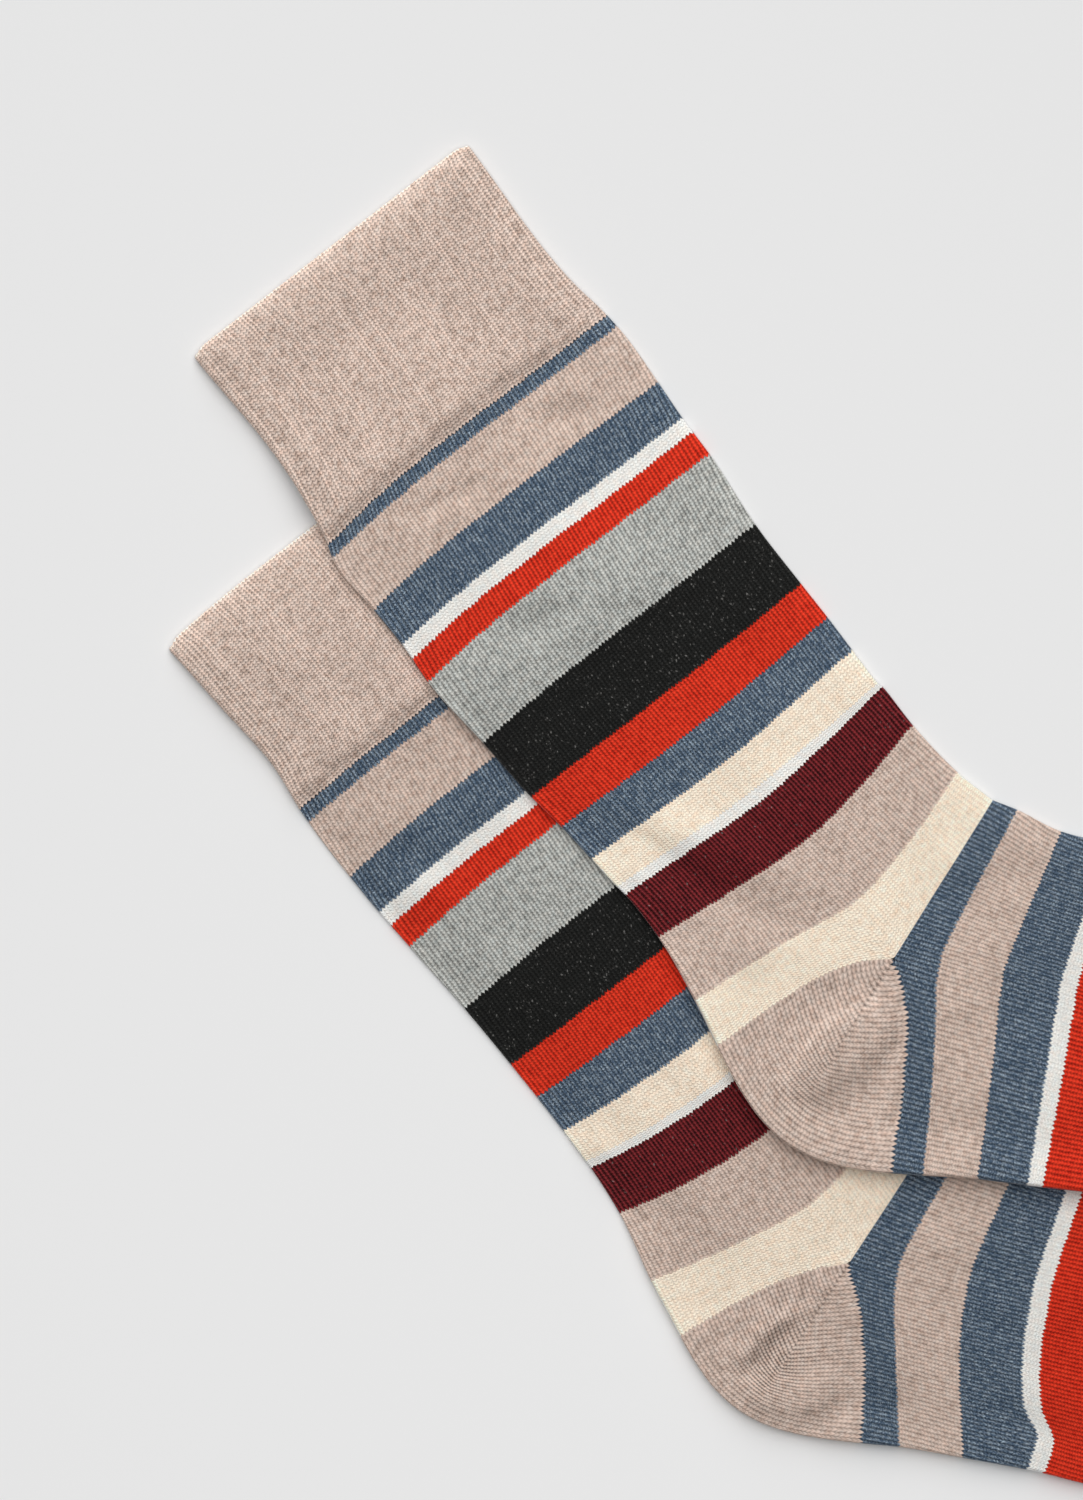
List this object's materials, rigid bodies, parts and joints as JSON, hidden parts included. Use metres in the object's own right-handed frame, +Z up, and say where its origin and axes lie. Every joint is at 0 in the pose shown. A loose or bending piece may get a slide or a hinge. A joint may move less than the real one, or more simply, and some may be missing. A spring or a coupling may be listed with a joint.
{
  "type": "pair of crew socks",
  "caption": "Pair of striped knitted crew socks, laid flat with one sock partly over the other; each has a turned cuff, leg, heel pocket, foot and toe pocket.",
  "frame": {"origin": "middle of the pair's bounding box in plan, on the plane that the socks lie on", "axes": "+Z up, away from that plane; +X towards the toes; +Y towards the cuffs"},
  "size_m": [0.3796, 0.3516, 0.0089],
  "materials": {
    "cuff_knit": "matt beige marl cotton knit",
    "leg_knit": "matt cotton knit, striped all round in eight yarn colours",
    "heel_knit": "matt beige marl cotton knit",
    "foot_knit": "matt cotton knit, striped all round in eight yarn colours",
    "toe_knit": "matt beige marl cotton knit"
  },
  "bodies": {
    "root": {"upper_cuff": "cuff_knit", "upper_leg": "leg_knit", "upper_heel": "heel_knit", "upper_foot": "foot_knit", "upper_toe": "toe_knit", "lower_cuff": "cuff_knit", "lower_leg": "leg_knit", "lower_heel": "heel_knit", "lower_foot": "foot_knit", "lower_toe": "toe_knit"}
  },
  "joints": []
}
